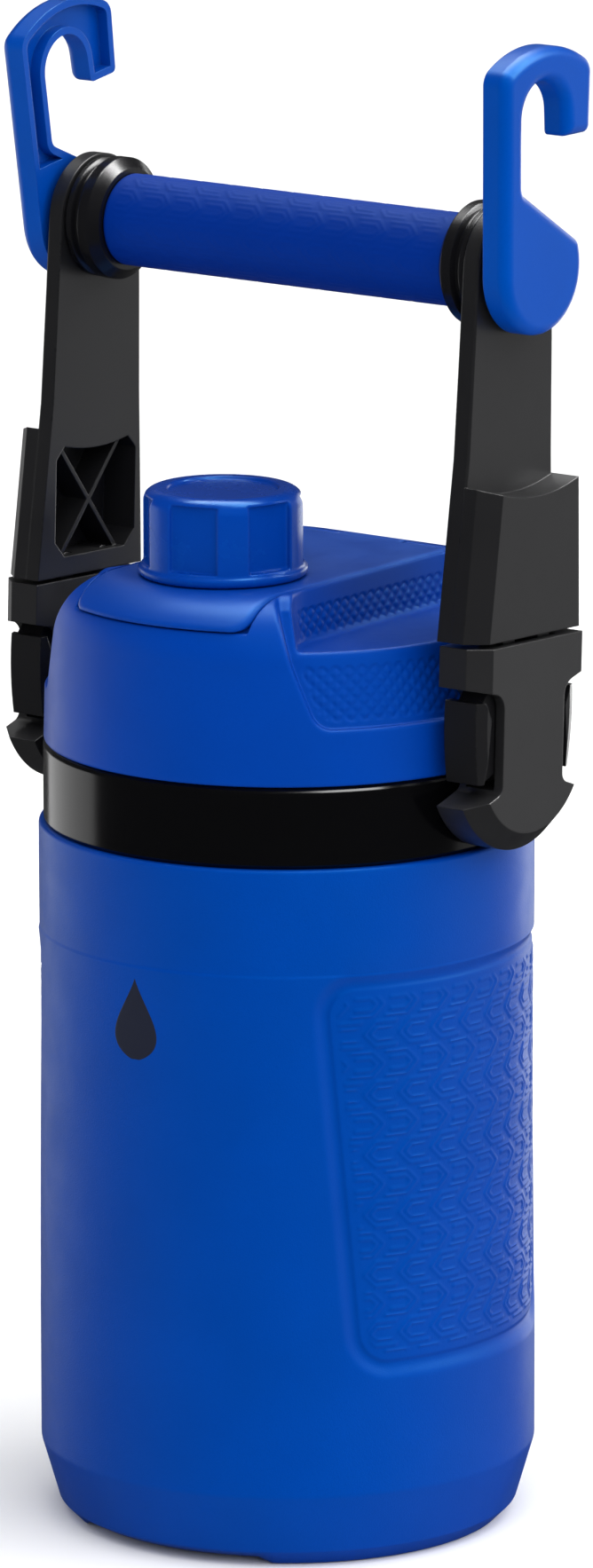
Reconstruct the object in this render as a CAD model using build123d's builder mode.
"""Insulated water jug with a screw lid, a flip-up cap plate and a swinging handle with two hooks.

Millimetres. The origin is the centre of the base, +Z is up, and the spout is on the -Y side.
The handle's grip lies along X.
"""
import os
from math import cos, radians, sin, sqrt

from build123d import *

os.makedirs("parts", exist_ok=True)

# ---- driving dimensions -------------------------------------------------------------------------
fit = 0.05  # gap between pieces that are fixed together
running = 0.08  # radial clearance of a shaft in its bore
gap = 0.3  # gap between pieces that move past each other

# body
body_r = 71.4
band_r = 71.0  # plain band above the grip panels
base_r = 66.3  # at the foot, below the taper
body_top = 204.4
taper_top = 22.0
band_bottom = 173.0
shell_inner_r = 67.0
shell_floor = 3.0
panel_r = 69.6
panel_bottom = 60.0
panel_top = 170.0
panel_half_width_top = 50.0
panel_half_width_bottom = 42.0
notch_half_angle = 31.0
notch_height = 2.0

# drinking vessel
liner_r = 58.0
liner_wall = 2.0
liner_floor = 8.0
neck_top = 246.0
neck_thread_pitch = 8.0
neck_thread_height = 1.8

# neck ring and trunnions
ring_r = 69.6
ring_top = 227.6
pivot_z = 216.0
trunnion_r = 7.5
trunnion_end = 82.0

# lid
lid_bottom = ring_top + gap
lid_foot_r = 69.4
lid_r = 68.6
lid_round = 18.0  # radius of the lid's top edge
lid_top = 279.8
rear_fall = 0.27  # slope of the lid's top behind the hinge
lid_bore_r = 60.6
ledge_z = 265.0
scoop_bottom = 244.0
spine_half_width = 32.5
scoop_half_length = 42.0  # of the deep upper tier
scoop_foot_half_length = 46.9  # of the shallow tier, at its foot
scoop_rim_half_length = 54.3  # level with the ledge
scoop_top_half_length = 50.5  # where it runs out under the lid's top
scoop_foot_r = 67.0  # of the shallow tier's sloping wall, from its foot up
scoop_ledge_r = 62.8
scoop_top_r = 57.5
scoop_top_z = 276.0
roof_z = 268.5  # underside of the lid's top
skirt_hollow_in = 63.4  # moulding hollow in the lid's thick skirt
skirt_hollow_out = 66.6
skirt_hollow_top = 241.5
pan_bottom = 247.6
pan_top = 249.3
lid_hollow_r = 58.0

# spout and cap
spout_y = -29.6
spout_r = 17.0
spout_bore_r = 14.0
spout_top = 298.3
cap_r = 23.1
cap_flange_r = 24.1
cap_bottom = 280.5
cap_top = 305.0
cap_bore_r = 19.8
cap_skirt_r = 21.2
cap_skirt_bottom = 270.8
cap_bead_r = 22.4
flute_count = 6
flute_half_angle = 18.5
flute_first_angle = 14.5  # from the front, towards +X
cap_thread_pitch = 4.0

# flip plate
plate_half_width = 30.0
plate_top = 280.0
plate_round = 20.2  # the plate's front edge stands proud of the lid's
plate_round_r = 51.2
plate_end_y = 38.0
seat_depth = 2.3  # of the plate's seat in the lid
seat_end_y = 48.0
lip_bottom = 271.3
lip_corner = 3.0
hinge_y = 42.0
hinge_z = 275.9
knuckle_r = 3.6
knuckle_half_width = 11.2
hinge_pin_r = 1.5

# handle, drawn upright and then leaned back about its pivot
handle_lean = 2.2
grip_z = 370.8
grip_r = 13.3
grip_half_length = 60.0
core_r = 9.0
core_bore_r = 5.4
collar_r = 17.3
arm_inner = 70.9
arm_outer = 76.0
eye_r = 18.0
cover_outer = 85.2
cover_bottom = 267.3
cover_front = 26.2  # the covers and sockets reach further forward than back
cover_rear = 22.2
cover_top = 318.0
cover_top_front = 20.4
cover_top_rear = 19.8
ledge_r = 63.8  # clears the hook as it turns
socket_inner = 71.6
socket_outer = 86.3
socket_front = 25.8
socket_rear = 22.4
socket_top = 266.0
waist_half_width = 14.4
waist_top = 252.0
waist_bottom = 224.2
channel_inner = 73.9
channel_outer = 83.3
mouth_half_width = 13.5
ear_y = 25.6
ear_z = 220.4
heel_bottom = 205.7
side_chamfer = 5.4  # along the front edges of the covers and sockets
pad_inner_y = 17.6  # leaves room for the squeeze
pad_outer_y = 23.0
prong_root_y = 8.5
prong_root_z = 270.2

# hooks
hook_inner = 78.0
hook_boss_r = 18.5
hook_shaft_r = 5.0
hook_top = 62.5
hook_tip_y = 23.5
hook_tip_bottom = 36.0
hook_slot_r = 10.0
hook_slot_centre_h = 43.0
hook_wall = 2.2
hook_left_tilt = 9.0

pivot_axis = Axis((0, 0, pivot_z), (1, 0, 0))
grip_axis = Axis((0, 0, grip_z), (1, 0, 0))
side_plane = Plane.YZ  # local x is Y, local y is Z, normal is +X


def save(part, label):
    """Name a finished piece and write it as a STEP file."""
    part.label = label
    export_step(part, f"parts/{label}.step")


def leaned(part):
    """Lean a piece of the handle back about the pivot."""
    return part.rotate(pivot_axis, -handle_lean)


def across(part):
    """Copy a right-hand piece to the left side."""
    return mirror(part, about=Plane.YZ)


# ---- body ---------------------------------------------------------------------------------------
def side_panel_cutter(side):
    """Shallow recess with a cylindrical floor on one side of the body."""
    height = panel_top - panel_bottom
    with BuildPart() as cutter:
        with BuildSketch(side_plane.offset(side * 40)):
            with BuildLine():
                Polyline(
                    (-panel_half_width_bottom, panel_bottom),
                    (panel_half_width_bottom, panel_bottom),
                    (panel_half_width_top, panel_top),
                    (-panel_half_width_top, panel_top),
                    close=True,
                )
            make_face()
            fillet(vertices(), 8)
        extrude(amount=side * 40)
        with Locations((0, 0, panel_bottom - 5)):
            Cylinder(panel_r, height + 10, align=(Align.CENTER, Align.CENTER, Align.MIN), mode=Mode.SUBTRACT)
    return cutter.part


def make_outer_shell():
    """Outer shell: tapered foot, plain top band, side grip panels, and notches in the base rim."""
    with BuildPart() as outer_shell:
        with BuildSketch(Plane.XZ):
            with BuildLine():
                Polyline(
                    (0, 0),
                    (base_r - 4.5, 0),
                    (base_r, 4.5),
                    (body_r, taper_top),
                    (body_r, band_bottom - 1.5),
                    (band_r, band_bottom),
                    (band_r, body_top - 1.2),
                    (band_r - 1.2, body_top),
                    (0, body_top),
                    close=True,
                )
            make_face()
        revolve(axis=Axis.Z)
        with Locations((0, 0, shell_floor)):
            Cylinder(
                shell_inner_r - 3.5,
                body_top - 3 - shell_floor,
                align=(Align.CENTER, Align.CENTER, Align.MIN),
                mode=Mode.SUBTRACT,
            )
        with Locations((0, 0, taper_top)):
            Cylinder(
                shell_inner_r,
                body_top - 3 - taper_top,
                align=(Align.CENTER, Align.CENTER, Align.MIN),
                mode=Mode.SUBTRACT,
            )
        Cylinder(
            liner_r + fit,
            body_top + 1,
            align=(Align.CENTER, Align.CENTER, Align.MIN),
            mode=Mode.SUBTRACT,
        )
        Cylinder(liner_r + 1, shell_floor, align=(Align.CENTER, Align.CENTER, Align.MIN))
        for side in (1, -1):
            add(side_panel_cutter(side), mode=Mode.SUBTRACT)
        with BuildSketch(Plane.XY):
            reach = 2 * body_r
            for facing in (-1, 1):
                spread = reach * sin(radians(notch_half_angle)) / cos(radians(notch_half_angle))
                with BuildLine():
                    Polyline((0, 0), (-spread, facing * reach), (spread, facing * reach), close=True)
                make_face()
            Circle(base_r - 14, mode=Mode.SUBTRACT)
        extrude(amount=notch_height, mode=Mode.SUBTRACT)
    save(outer_shell.part, "outer_shell")


def thread_ridge(radius, height, pitch, turns, start_z, centre_y=0.0):
    """Helical ridge of a screw thread, its foot sunk a little into the wall that carries it."""
    foot = pitch * 0.2
    with BuildPart() as ridge:
        with BuildLine(Plane((0, centre_y, start_z))) as path:
            Helix(pitch=pitch, height=pitch * turns, radius=radius)
        start = path.line @ 0
        with BuildSketch(Plane(origin=start, x_dir=(1, 0, 0), z_dir=path.line % 0)):
            with BuildLine():
                Polyline((-0.6, -foot), (height, -foot * 0.4), (height, foot * 0.4), (-0.6, foot), close=True)
            make_face()
        sweep(path=path.line, is_frenet=True)
    return ridge.part


def make_inner_liner():
    """Drinking vessel with a threaded neck."""
    with BuildPart() as inner_liner:
        with Locations((0, 0, liner_floor)):
            Cylinder(liner_r, neck_top - liner_floor, align=(Align.CENTER, Align.CENTER, Align.MIN))
        fillet(inner_liner.faces().sort_by(Axis.Z)[0].edges(), 6)
        with BuildSketch(Plane.XY.offset(neck_top)):
            Circle(liner_r - liner_wall)
        extrude(amount=-(neck_top - liner_floor - liner_wall), mode=Mode.SUBTRACT)
        fillet(inner_liner.faces().filter_by(Axis.Z).sort_by(Axis.Z)[1].edges(), 4.5)
        add(thread_ridge(liner_r, neck_thread_height, neck_thread_pitch, 1.3, 231.5))
    save(inner_liner.part, "inner_liner")


def make_foam_insulation():
    """Rigid foam between the shell and the vessel."""
    with BuildPart() as foam_insulation:
        with Locations((0, 0, shell_floor + fit)):
            Cylinder(
                shell_inner_r - 3.5 - fit,
                taper_top - shell_floor,
                align=(Align.CENTER, Align.CENTER, Align.MIN),
            )
        with Locations((0, 0, taper_top + fit)):
            Cylinder(
                shell_inner_r - fit,
                body_top - 3 - taper_top - 2 * fit,
                align=(Align.CENTER, Align.CENTER, Align.MIN),
            )
        with Locations((0, 0, liner_floor - fit)):
            Cylinder(
                liner_r + fit,
                body_top,
                align=(Align.CENTER, Align.CENTER, Align.MIN),
                mode=Mode.SUBTRACT,
            )
    save(foam_insulation.part, "foam_insulation")


def make_neck_ring():
    """Hollow ring round the neck, with a trunnion on each side for the handle."""
    wall = 3.0
    inner_r = liner_r + fit
    with BuildPart() as neck_ring:
        with BuildSketch(Plane.XZ):
            with BuildLine():
                Polyline(
                    (inner_r, body_top + fit),
                    (inner_r + wall, body_top + fit),
                    (inner_r + wall, ring_top - wall),
                    (ring_r - wall, ring_top - wall),
                    (ring_r - wall, body_top + fit),
                    (ring_r - 0.8, body_top + fit),
                    (ring_r, body_top + 1.2),
                    (ring_r, ring_top - 1.2),
                    (ring_r - 1.2, ring_top),
                    (inner_r + 0.5, ring_top),
                    (inner_r, ring_top - 0.5),
                    close=True,
                )
            make_face()
        revolve(axis=Axis.Z)
        for side in (1, -1):
            with BuildSketch(side_plane.offset(side * (inner_r + 1))):
                with Locations((0, pivot_z)):
                    Rectangle(24, 17.2)
            extrude(amount=side * (ring_r - inner_r - 3))
            with BuildSketch(side_plane.offset(side * (ring_r - 4))):
                with Locations((0, pivot_z)):
                    Circle(trunnion_r + 3)
            extrude(amount=side * (socket_inner - gap - ring_r + 4))
            with BuildSketch(side_plane.offset(side * (ring_r - 4))):
                with Locations((0, pivot_z)):
                    Circle(trunnion_r)
            extrude(amount=side * (trunnion_end - ring_r + 4))
    save(neck_ring.part, "neck_ring")


# ---- lid ----------------------------------------------------------------------------------------
def dome_points(offset_out):
    """Ends and middle of the rounded top edge, moved out by an offset."""
    centre_r = lid_r - lid_round
    centre_z = lid_top - lid_round
    radius = lid_round + offset_out
    middle = radius * sqrt(0.5)
    side_point = (centre_r + radius, centre_z)
    middle_point = (centre_r + middle, centre_z + middle)
    return side_point, middle_point, (centre_r, centre_z + radius)


def finger_recess(side):
    """Two-tier recess: a deep upper tier above a ledge, inside a shallow tier with a sloping wall."""
    with BuildPart() as deep:
        with BuildSketch(Plane.XY.offset(ledge_z)):
            with Locations((side * (spine_half_width + lid_r / 2), 0)):
                Rectangle(lid_r, 2 * scoop_half_length)
            fillet(vertices().sort_by(Axis.X)[:: side][:2], 5)
        extrude(amount=30, taper=-6)
    with BuildPart() as shallow:
        with BuildSketch(side_plane.offset(side * 30)):
            with BuildLine():
                Polyline(
                    (-scoop_foot_half_length, scoop_bottom),
                    (scoop_foot_half_length, scoop_bottom),
                    (scoop_rim_half_length, ledge_z),
                    (scoop_top_half_length, lid_top + 2),
                    (-scoop_top_half_length, lid_top + 2),
                    (-scoop_rim_half_length, ledge_z),
                    close=True,
                )
            make_face()
            fillet(vertices().sort_by(Axis.Y)[:2], 4.5)
        extrude(amount=side * 50)
        with BuildSketch(Plane.XZ):
            with BuildLine():
                Polyline(
                    (0, scoop_bottom - 2),
                    (scoop_foot_r + 0.6, scoop_bottom - 2),
                    (scoop_foot_r, scoop_bottom),
                    (scoop_ledge_r, ledge_z - 1.2),
                    (scoop_top_r, scoop_top_z),
                    (lid_r - lid_round, lid_top + 3),
                    (0, lid_top + 3),
                    close=True,
                )
            make_face()
        revolve(axis=Axis.Z, mode=Mode.SUBTRACT)
    with BuildPart() as both:
        add(deep.part)
        add(shallow.part)
    return both.part


def plate_seat():
    """Room in the lid for the flip plate, open at the front and over the hinge."""
    low_point, middle_point, top_point = dome_points(-seat_depth)
    outside = 90.0
    with BuildPart() as seat:
        with BuildSketch(Plane.XZ):
            with BuildLine():
                Line((0, top_point[1]), top_point)
                ThreePointArc(top_point, middle_point, low_point)
                Polyline(low_point, (outside, low_point[1]), (outside, 300), (0, 300), (0, top_point[1]))
            make_face()
        revolve(axis=Axis.Z)
        with BuildSketch(Plane.XY.offset(lip_bottom - gap)):
            with Locations((0, (seat_end_y - outside) / 2)):
                Rectangle(2 * plate_half_width + 0.5, seat_end_y + outside)
        extrude(amount=30, mode=Mode.INTERSECT)
    return seat.part


def make_lid_shell():
    """Lid with a raised spine between two finger recesses, the spout, and the hinge ears."""
    side_point, middle_point, top_point = dome_points(0)
    with BuildPart() as lid_shell:
        with BuildSketch(Plane.XZ):
            with BuildLine():
                Polyline(
                    (0, lid_top),
                    (0, lid_bottom),
                    (lid_foot_r - 0.6, lid_bottom),
                    (lid_foot_r, lid_bottom + 0.8),
                )
                Line((lid_foot_r, lid_bottom + 0.8), side_point)
                ThreePointArc(side_point, middle_point, top_point)
                Line(top_point, (0, lid_top))
            make_face()
        revolve(axis=Axis.Z)
        with BuildSketch(side_plane.offset(-lid_r)):
            with BuildLine():
                fall_end = lid_top - rear_fall * (lid_r - hinge_y)
                Polyline((hinge_y, lid_top), (lid_r, fall_end), (lid_r, lid_top), close=True)
            make_face()
        extrude(amount=2 * lid_r, mode=Mode.SUBTRACT)
        for side in (1, -1):
            add(finger_recess(side), mode=Mode.SUBTRACT)
        add(plate_seat(), mode=Mode.SUBTRACT)
        # hinge ears behind the plate
        ear_r = knuckle_r - 0.2
        ear_width = plate_half_width - knuckle_half_width - gap
        for side in (1, -1):
            with BuildSketch(side_plane.offset(side * (knuckle_half_width + gap))):
                with Locations((hinge_y, hinge_z)):
                    Circle(ear_r)
                with Locations((hinge_y, hinge_z - 2)):
                    Rectangle(2 * ear_r, 4)
            extrude(amount=side * ear_width)
        # bore over the neck, and the hollow above the pan
        with BuildSketch(Plane.XZ):
            with BuildLine():
                Polyline(
                    (0, lid_bottom - 1),
                    (lid_bore_r, lid_bottom - 1),
                    (lid_bore_r, pan_top),
                    (lid_hollow_r, pan_top),
                    (lid_hollow_r, ledge_z - 3),
                    (0, ledge_z - 3),
                    close=True,
                )
            make_face()
        revolve(axis=Axis.Z, mode=Mode.SUBTRACT)
        with BuildSketch(Plane.XZ):
            with BuildLine():
                Polyline(
                    (skirt_hollow_in, lid_bottom - 1),
                    (skirt_hollow_out, lid_bottom - 1),
                    (skirt_hollow_out, skirt_hollow_top),
                    (skirt_hollow_in, skirt_hollow_top),
                    close=True,
                )
            make_face()
        revolve(axis=Axis.Z, mode=Mode.SUBTRACT)
        with BuildSketch(Plane.XY.offset(ledge_z - 4)):
            Circle(50)
            Rectangle(2 * spine_half_width - 6, 120, mode=Mode.INTERSECT)
        extrude(amount=roof_z - ledge_z + 4, mode=Mode.SUBTRACT)
        # pocket for the cap's skirt, then the spout
        with BuildSketch(Plane.XY.offset(cap_skirt_bottom - 0.8)):
            with Locations((0, spout_y)):
                Circle(cap_bead_r + 0.9)
        extrude(amount=30, mode=Mode.SUBTRACT)
        with BuildSketch(Plane.XY.offset(pan_bottom)):
            with Locations((0, spout_y)):
                Circle(spout_r)
        extrude(amount=spout_top - pan_bottom)
        add(thread_ridge(spout_r, 1.2, cap_thread_pitch, 1.75, 283.8, spout_y))
        with BuildSketch(Plane.XY.offset(240)):
            with Locations((0, spout_y)):
                Circle(spout_bore_r)
        extrude(amount=80, mode=Mode.SUBTRACT)
        # slot for the plate's knuckle and the pin's hole
        with BuildSketch(side_plane.offset(-knuckle_half_width - gap)):
            with Locations((hinge_y, hinge_z)):
                Circle(knuckle_r + 0.5)
        extrude(amount=2 * (knuckle_half_width + gap), mode=Mode.SUBTRACT)
        with BuildSketch(side_plane.offset(-plate_half_width + 4)):
            with Locations((hinge_y, hinge_z)):
                Circle(hinge_pin_r + fit)
        extrude(amount=2 * plate_half_width - 8, mode=Mode.SUBTRACT)
    save(lid_shell.part, "lid_shell")


def make_lid_liner():
    """Pan that closes the underside of the lid, with a groove for the gasket."""
    with BuildPart() as lid_liner:
        with BuildSketch(Plane.XY.offset(pan_bottom)):
            Circle(lid_bore_r - fit)
            with Locations((0, spout_y)):
                Circle(spout_r + fit, mode=Mode.SUBTRACT)
        extrude(amount=1.65)
        with BuildSketch(Plane.XY.offset(243.0)):
            Circle(liner_r - liner_wall - 0.8)
            Circle(liner_r - liner_wall - 2.6, mode=Mode.SUBTRACT)
        extrude(amount=5)
    save(lid_liner.part, "lid_liner")


def make_lid_foam():
    """Insulation between the pan and the lid's top."""
    with BuildPart() as lid_foam:
        with BuildSketch(Plane.XY.offset(pan_top)):
            Circle(lid_hollow_r - fit)
        extrude(amount=ledge_z - 3 - fit - pan_top)
        with BuildSketch(Plane.XY.offset(ledge_z - 4)):
            Circle(50 - fit)
            Rectangle(2 * spine_half_width - 6 - 2 * fit, 120, mode=Mode.INTERSECT)
        extrude(amount=roof_z - fit - ledge_z + 4)
        with BuildSketch(Plane.XY.offset(240)):
            with Locations((0, spout_y)):
                Circle(spout_r + fit)
        extrude(amount=40, mode=Mode.SUBTRACT)
    save(lid_foam.part, "lid_foam")


def make_lid_gasket():
    """Flat seal between the pan and the neck's rim."""
    with BuildPart() as lid_gasket:
        with BuildSketch(Plane.XY.offset(neck_top + 0.1)):
            Circle(liner_r + 1.2)
            Circle(liner_r - liner_wall - 0.3, mode=Mode.SUBTRACT)
        extrude(amount=1.4)
    save(lid_gasket.part, "lid_gasket")


# ---- flip plate and cap -------------------------------------------------------------------------
def make_flip_plate():
    """Plate that fills the seat along the lid's spine and ends in a thumb lip over the lid's front."""
    side_low, middle_low, top_low = dome_points(gap - seat_depth)
    round_z = plate_top - plate_round
    half_chord = plate_round * sqrt(0.5)
    with BuildPart() as flip_plate:
        with BuildSketch(Plane.XZ):
            with BuildLine():
                Line((0, top_low[1]), top_low)
                ThreePointArc(top_low, middle_low, side_low)
                Polyline(side_low, (side_low[0], round_z), (plate_round_r + plate_round, round_z))
                ThreePointArc(
                    (plate_round_r + plate_round, round_z),
                    (plate_round_r + half_chord, round_z + half_chord),
                    (plate_round_r, plate_top),
                )
                Polyline((plate_round_r, plate_top), (0, plate_top), (0, top_low[1]))
            make_face()
        revolve(axis=Axis.Z)
        with BuildSketch(Plane.XZ):
            with BuildLine():
                Polyline(
                    (-plate_half_width, lip_bottom),
                    (plate_half_width, lip_bottom),
                    (plate_half_width, 300),
                    (-plate_half_width, 300),
                    close=True,
                )
            make_face()
            fillet(vertices().group_by(Axis.Y)[0], lip_corner)
        extrude(amount=90, both=True, mode=Mode.INTERSECT)
        with BuildSketch(Plane.XY.offset(lip_bottom)):
            with Locations((0, (plate_end_y - 90) / 2)):
                Rectangle(2 * plate_half_width, 90 + plate_end_y)
            with Locations((0, spout_y)):
                Circle(cap_skirt_r + 0.4, mode=Mode.SUBTRACT)
        extrude(amount=30, mode=Mode.INTERSECT)
        fillet(flip_plate.edges().group_by(Axis.Z)[-1].filter_by(GeomType.LINE), 0.7)
        with BuildSketch(side_plane.offset(-knuckle_half_width)):
            with BuildLine():
                Polyline(
                    (plate_end_y - 3, top_low[1]),
                    (hinge_y, top_low[1]),
                    (hinge_y, plate_top - 0.6),
                    (plate_end_y - 3, plate_top - 0.6),
                    close=True,
                )
            make_face()
            with Locations((hinge_y, hinge_z)):
                Circle(knuckle_r)
        extrude(amount=2 * knuckle_half_width)
        with BuildSketch(side_plane.offset(-knuckle_half_width - 1)):
            with Locations((hinge_y, hinge_z)):
                Circle(hinge_pin_r + running)
        extrude(amount=2 * knuckle_half_width + 2, mode=Mode.SUBTRACT)
    save(flip_plate.part, "flip_plate")


def make_hinge_pin():
    """Pin of the plate's hinge, held in the lid's ears."""
    length = 2 * plate_half_width - 10
    with BuildPart() as hinge_pin:
        with BuildSketch(side_plane.offset(-length / 2)):
            with Locations((hinge_y, hinge_z)):
                Circle(hinge_pin_r)
        extrude(amount=length)
        chamfer(hinge_pin.edges(), 0.3)
    save(hinge_pin.part, "hinge_pin")


def make_cap():
    """Fluted screw cap with a flange, and a skirt with a bead that keeps it on the plate."""
    with BuildPart() as cap:
        with BuildSketch(Plane.XZ.offset(-spout_y)):
            with BuildLine():
                Polyline(
                    (0, cap_top - 1.0),
                    (15.5, cap_top - 1.0),
                    (16.5, cap_top),
                    (cap_r - 3.4, cap_top),
                )
                ThreePointArc((cap_r - 3.4, cap_top), (cap_r - 1.0, cap_top - 1.0), (cap_r, cap_top - 3.4))
                Polyline(
                    (cap_r, cap_top - 3.4),
                    (cap_r, cap_bottom + 3.2),
                    (cap_flange_r - 0.2, cap_bottom + 2.6),
                    (cap_flange_r, cap_bottom + 1.8),
                    (cap_flange_r, cap_bottom + 0.6),
                    (cap_flange_r - 0.6, cap_bottom),
                    (cap_skirt_r, cap_bottom),
                    (cap_skirt_r, cap_skirt_bottom + 2.2),
                    (cap_bead_r, cap_skirt_bottom + 1.6),
                    (cap_bead_r, cap_skirt_bottom + 0.6),
                    (cap_skirt_r, cap_skirt_bottom),
                    (cap_bore_r, cap_skirt_bottom),
                    (cap_bore_r, cap_top - 3.6),
                    (0, cap_top - 3.6),
                    (0, cap_top - 1.0),
                )
            make_face()
        revolve(axis=Axis((0, spout_y, 0), (0, 0, 1)))
        flute_floor = cap_r - 1.3
        flute_foot = cap_bottom + 3.6
        for number in range(flute_count):
            middle = flute_first_angle + number * 360 / flute_count
            with BuildSketch(Plane.XY.offset(flute_foot)):
                with BuildLine():
                    ends = []
                    for turn in (-flute_half_angle, flute_half_angle):
                        angle = radians(middle + turn)
                        ends.append((sin(angle), -cos(angle)))
                    Polyline(
                        (flute_floor * ends[0][0], spout_y + flute_floor * ends[0][1]),
                        (30 * ends[0][0], spout_y + 30 * ends[0][1]),
                        (30 * ends[1][0], spout_y + 30 * ends[1][1]),
                        (flute_floor * ends[1][0], spout_y + flute_floor * ends[1][1]),
                        close=True,
                    )
                make_face()
            extrude(amount=cap_top - 2.2 - flute_foot, mode=Mode.SUBTRACT)
    save(cap.part, "cap")


def make_cap_gasket():
    """Disc seal between the cap and the spout's rim."""
    with BuildPart() as cap_gasket:
        with BuildSketch(Plane.XY.offset(spout_top + 0.1)):
            with Locations((0, spout_y)):
                Circle(cap_bore_r - 0.4)
                Circle(spout_bore_r - 3, mode=Mode.SUBTRACT)
        extrude(amount=cap_top - 3.6 - spout_top - 0.5)
    save(cap_gasket.part, "cap_gasket")


# ---- handle -------------------------------------------------------------------------------------
def socket_outline():
    """Face of a socket in (y, z): top block, waist, ears, and a round heel."""
    with BuildSketch() as outline:
        with BuildLine():
            Polyline(
                (-ear_y, ear_z),
                (-waist_half_width, waist_bottom),
                (-waist_half_width, waist_top),
                (-socket_front, waist_top + 2.4),
                (-socket_front, socket_top),
                (socket_rear, socket_top),
                (socket_rear, waist_top + 2.4),
                (waist_half_width, waist_top),
                (waist_half_width, waist_bottom),
                (ear_y, ear_z),
            )
            ThreePointArc((ear_y, ear_z), (0, heel_bottom), (-ear_y, ear_z))
        make_face()
        for height, radius in ((waist_top, 5.0), (waist_bottom, 3.0)):
            corners = outline.vertices().filter_by(lambda v, height=height: abs(v.Y - height) < 0.1)
            fillet(corners, radius)
    return outline.sketch


def make_socket():
    """U-shaped socket that turns on a trunnion and takes the arm's prongs through its mouth."""
    with BuildPart() as socket:
        with BuildSketch(side_plane.offset(socket_inner)):
            add(socket_outline())
        extrude(amount=socket_outer - socket_inner)
        outer_rim = socket.faces().filter_by(Axis.X).sort_by(Axis.X)[-1].edges()
        block_side = outer_rim.filter_by(lambda e: e.center().Y < 1 - socket_front)
        heel = outer_rim.filter_by(GeomType.CIRCLE).sort_by(Axis.Z)[0]
        chamfer(block_side + [heel], side_chamfer)
        with BuildSketch(side_plane.offset(channel_inner)):
            with Locations((0, (waist_bottom + 0.6 + waist_top + 2) / 2)):
                Rectangle(60, waist_top + 2 - waist_bottom - 0.6)
            with Locations((0, socket_top - 6)):
                Rectangle(2 * mouth_half_width, 30)
        extrude(amount=channel_outer - channel_inner, mode=Mode.SUBTRACT)
        with BuildSketch(side_plane.offset(socket_inner - 1)):
            with Locations((0, pivot_z)):
                Circle(trunnion_r + running)
        extrude(amount=trunnion_end + gap - socket_inner + 1, mode=Mode.SUBTRACT)
    return leaned(socket.part)


def make_prong():
    """Rear release prong: a stem, a web inside the socket, and a thick curved pad to squeeze."""
    catch_z = waist_top + 1.2
    foot_z = waist_bottom + 2.8
    pad_foot_y = 19.6
    pad_bulge_z = 240.0
    with BuildPart() as prong:
        with BuildSketch(side_plane.offset(channel_inner + 0.5)):
            with BuildLine():
                Polyline(
                    (pad_foot_y + 0.6, foot_z),
                    (7.0, foot_z + 5),
                    (5.5, foot_z + 12),
                    (5.5, prong_root_z),
                    (prong_root_y + 2.6, prong_root_z),
                    (prong_root_y + 2.6, catch_z),
                    (pad_inner_y, catch_z),
                    (pad_inner_y + 2.6, catch_z - 3),
                    close=True,
                )
            make_face()
            with Locations((prong_root_y, prong_root_z)):
                Circle(3.1)
        extrude(amount=channel_outer - channel_inner - 1.0)
        with BuildSketch(side_plane.offset(socket_inner + 0.3)):
            with BuildLine():
                Polyline(
                    (pad_foot_y, foot_z),
                    (pad_inner_y, catch_z - 8),
                    (pad_inner_y + 2.6, catch_z - 2.8),
                    (pad_outer_y, catch_z - 2.8),
                )
                ThreePointArc(
                    (pad_outer_y, catch_z - 2.8),
                    (pad_outer_y + 0.1, pad_bulge_z),
                    (pad_foot_y + 1.8, foot_z),
                )
                Line((pad_foot_y + 1.8, foot_z), (pad_foot_y, foot_z))
            make_face()
        extrude(amount=socket_outer - socket_inner - 2.2)
        pad_rim = prong.faces().filter_by(Axis.X).sort_by(Axis.X)[-1].edges()
        chamfer(pad_rim.filter_by(GeomType.CIRCLE), 1.6, 3.4)
    return leaned(prong.part)


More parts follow.
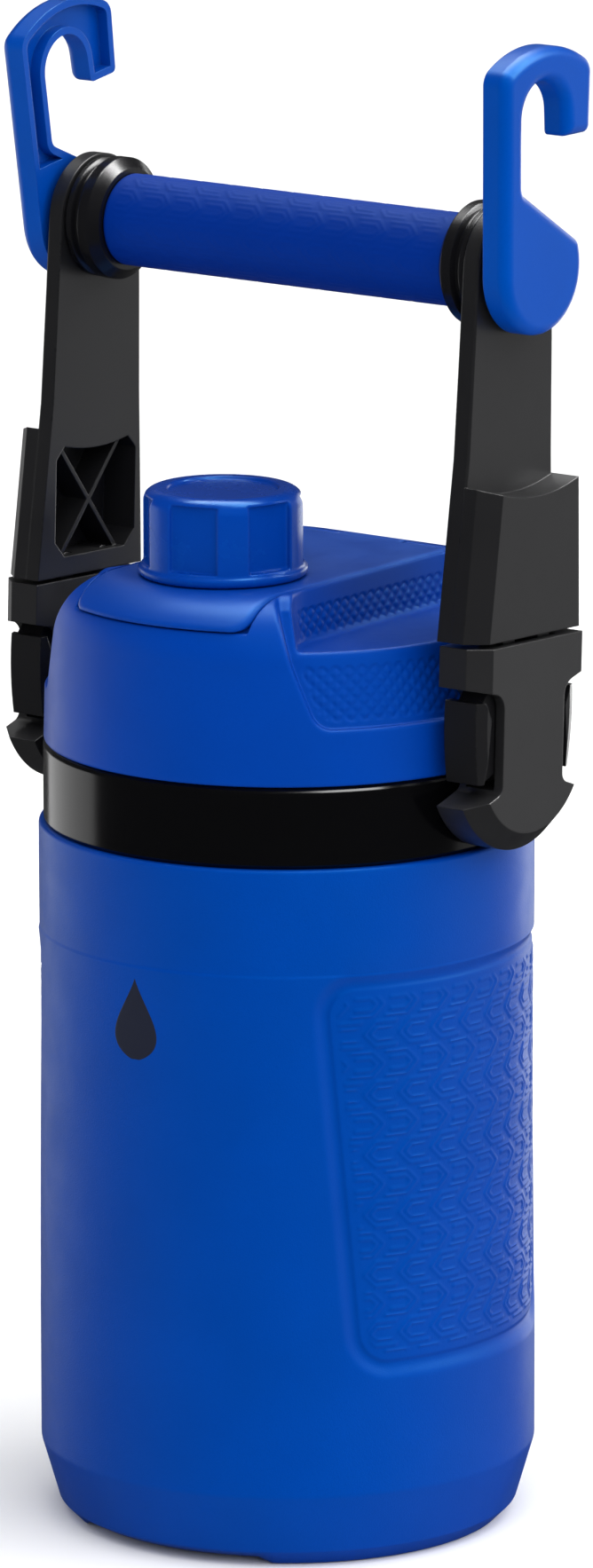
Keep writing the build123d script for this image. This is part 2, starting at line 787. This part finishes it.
def make_arm():
    """Arm: eye for the grip, tapering plate, and a thick cover with a ribbed pocket on its inner side."""
    with BuildPart() as arm:
        with BuildSketch(side_plane.offset(arm_inner)):
            with BuildLine():
                Polyline(
                    (-cover_front, cover_bottom),
                    (cover_rear, cover_bottom),
                    (cover_top_rear, cover_top),
                    (18.9, 349.0),
                    (eye_r, grip_z),
                    (-eye_r, grip_z),
                    (-18.9, 349.0),
                    (-cover_top_front, cover_top),
                    close=True,
                )
            make_face()
            with Locations((0, grip_z)):
                Circle(eye_r)
        extrude(amount=arm_outer - arm_inner)
        chamfer(arm.faces().filter_by(Axis.X).sort_by(Axis.X)[-1].edges().group_by(Axis.Z)[1:], 0.6)
        with BuildSketch(side_plane.offset(arm_outer - 0.5)):
            with BuildLine():
                Polyline(
                    (-cover_front, cover_bottom),
                    (cover_rear, cover_bottom),
                    (cover_top_rear, cover_top),
                    (-cover_top_front, cover_top),
                    close=True,
                )
            make_face()
            with Locations((0, grip_z)):
                Circle(ledge_r, mode=Mode.SUBTRACT)
        extrude(amount=cover_outer - arm_outer + 0.5)
        outer_rim = arm.faces().filter_by(Axis.X).sort_by(Axis.X)[-1].edges()
        chamfer(outer_rim.filter_by(lambda e: e.center().Y < 2 - cover_top_front), side_chamfer)
        # pocket behind the cover, with a crossed pair of ribs left standing
        with BuildSketch(side_plane.offset(arm_inner - 1)):
            with Locations((0, 289.5)):
                Rectangle(37.0, 33.0)
            chamfer(vertices(), 4.5)
            with Locations((0, grip_z)):
                Circle(ledge_r + 3.5, mode=Mode.SUBTRACT)
        extrude(amount=cover_outer - 2.8 - arm_inner + 1, mode=Mode.SUBTRACT)
        with BuildSketch(side_plane.offset(arm_inner + 2.5)):
            for turn in (-40, 40):
                with Locations(Location((0, 288.0), turn)):
                    Rectangle(1.4, 45.0)
            with Locations((0, 289.5)):
                Rectangle(38.0, 34.0, mode=Mode.INTERSECT)
            with Locations((0, grip_z)):
                Circle(ledge_r + 3.0, mode=Mode.SUBTRACT)
        extrude(amount=cover_outer - 2.8 - arm_inner - 2)
        # slots for the prongs, and room for their root ends
        with BuildSketch(side_plane.offset(channel_inner + 0.1)):
            for facing in (1, -1):
                with Locations((facing * prong_root_y, prong_root_z - 4)):
                    Rectangle(7.6, 12.0)
                with Locations((facing * prong_root_y, prong_root_z)):
                    Circle(3.5)
        extrude(amount=channel_outer - channel_inner - 0.2, mode=Mode.SUBTRACT)
        # bore of the hook's shaft
        with BuildSketch(side_plane.offset(arm_inner - 1)):
            with Locations((0, grip_z)):
                Circle(hook_shaft_r + running)
        extrude(amount=20, mode=Mode.SUBTRACT)
    return leaned(arm.part)


def grip_ring(profile):
    """Turn a profile of (x, radius) corners about the grip's axis."""
    corners = [(x, grip_z + radius) for x, radius in profile]
    with BuildPart() as ring:
        with BuildSketch(Plane.XZ):
            with BuildLine():
                Polyline(*corners, close=True)
            make_face()
        revolve(axis=grip_axis)
    return ring.part


def make_grip():
    """Core tube, soft sleeve, and the two collars that close its ends."""
    core = grip_ring(
        [
            (-arm_inner + fit, core_bore_r),
            (arm_inner - fit, core_bore_r),
            (arm_inner - fit, core_r),
            (-arm_inner + fit, core_r),
        ]
    )
    sleeve_end = grip_half_length
    sleeve = grip_ring(
        [
            (-sleeve_end, core_r + fit),
            (sleeve_end, core_r + fit),
            (sleeve_end, grip_r - 0.6),
            (sleeve_end - 0.6, grip_r),
            (-sleeve_end + 0.6, grip_r),
            (-sleeve_end, grip_r - 0.6),
        ]
    )
    collar = grip_ring(
        [
            (sleeve_end + fit, core_r + fit),
            (arm_inner - fit, core_r + fit),
            (arm_inner - fit, collar_r - 0.8),
            (arm_inner - 0.8, collar_r),
            (68.6, collar_r),
            (67.8, collar_r - 1.5),
            (66.6, collar_r - 1.5),
            (65.8, collar_r + 0.3),
            (62.6, collar_r + 0.3),
            (sleeve_end + fit, grip_r + 1.4),
        ]
    )
    save(leaned(core), "grip_core")
    save(leaned(sleeve), "grip_sleeve")
    save(leaned(collar), "collar_right")
    save(across(leaned(collar)), "collar_left")


def hook_outline():
    """Face of a hook in (y, z): boss, front spine, arched top, and a tip that hangs down at the rear."""
    slot_front = 0.5 - hook_slot_r
    slot_rear = 0.5 + hook_slot_r
    shoulder_z = grip_z + 56
    slot_z = grip_z + hook_slot_centre_h
    tip_z = grip_z + hook_tip_bottom
    nose = (hook_boss_r * cos(radians(20)), grip_z + hook_boss_r * sin(radians(20)))
    with BuildSketch() as outline:
        with BuildLine():
            Line((-hook_boss_r, grip_z), (-hook_boss_r, shoulder_z))
            ThreePointArc((-hook_boss_r, shoulder_z), (2.5, grip_z + hook_top), (hook_tip_y, shoulder_z))
            Polyline(
                (hook_tip_y, shoulder_z),
                (hook_tip_y - 1, tip_z),
                (slot_rear + 0.3, tip_z),
                (slot_rear, slot_z),
            )
            ThreePointArc((slot_rear, slot_z), (0.5, slot_z + hook_slot_r), (slot_front, slot_z))
            Polyline((slot_front, slot_z), (slot_front, grip_z + 23), nose)
            ThreePointArc(nose, (0, grip_z - hook_boss_r), (-hook_boss_r, grip_z))
        make_face()
        fillet(vertices().sort_by(Axis.Y)[-2:], 5)
        fillet(vertices().sort_by(Axis.Y)[3:5], 1.6)
        fillet(vertices().sort_by(Axis.Y)[2], 3)
        fillet(vertices().sort_by(Axis.Y)[1], 3)
    return outline.sketch


def make_hook():
    """Hook with a rounded outer face, a channel in its inner face, and a shaft into the grip."""
    with BuildPart() as hook:
        with BuildSketch(side_plane.offset(hook_inner)):
            add(hook_outline())
        extrude(amount=socket_outer - hook_inner)
        outer_rim = hook.faces().filter_by(Axis.X).sort_by(Axis.X)[-1].edges()
        fillet(outer_rim, 3.4)
        with BuildSketch(side_plane.offset(hook_inner)):
            add(hook_outline())
            offset(amount=-hook_wall, mode=Mode.REPLACE)
            with Locations((0, grip_z - 8)):
                Rectangle(60, 52, mode=Mode.SUBTRACT)
        extrude(amount=3.6, mode=Mode.SUBTRACT)
        with BuildSketch(side_plane.offset(50)):
            with Locations((0, grip_z)):
                Circle(hook_shaft_r)
        extrude(amount=hook_inner - 50 + 1)
        with BuildSketch(side_plane.offset(arm_outer + gap)):
            with Locations((0, grip_z)):
                Circle(hook_shaft_r + 6)
        extrude(amount=hook_inner - arm_outer - gap + 1)
    return hook.part


def make_sides():
    """Pieces that come as a right-hand and a left-hand one."""
    for name, part in (("socket", make_socket()), ("arm", make_arm())):
        save(part, f"{name}_right")
        save(across(part), f"{name}_left")
    rear_prong = make_prong()
    front_prong = leaned(mirror(rear_prong.rotate(pivot_axis, handle_lean), about=Plane.XZ))
    for place, part in (("rear", rear_prong), ("front", front_prong)):
        save(part, f"prong_right_{place}")
        save(across(part), f"prong_left_{place}")
    hook = make_hook()
    save(leaned(hook.rotate(grip_axis, handle_lean)), "hook_right")
    save(leaned(across(hook).rotate(grip_axis, handle_lean + hook_left_tilt)), "hook_left")


make_outer_shell()
make_inner_liner()
make_foam_insulation()
make_neck_ring()
make_lid_shell()
make_lid_liner()
make_lid_foam()
make_lid_gasket()
make_flip_plate()
make_hinge_pin()
make_cap()
make_cap_gasket()
make_grip()
make_sides()
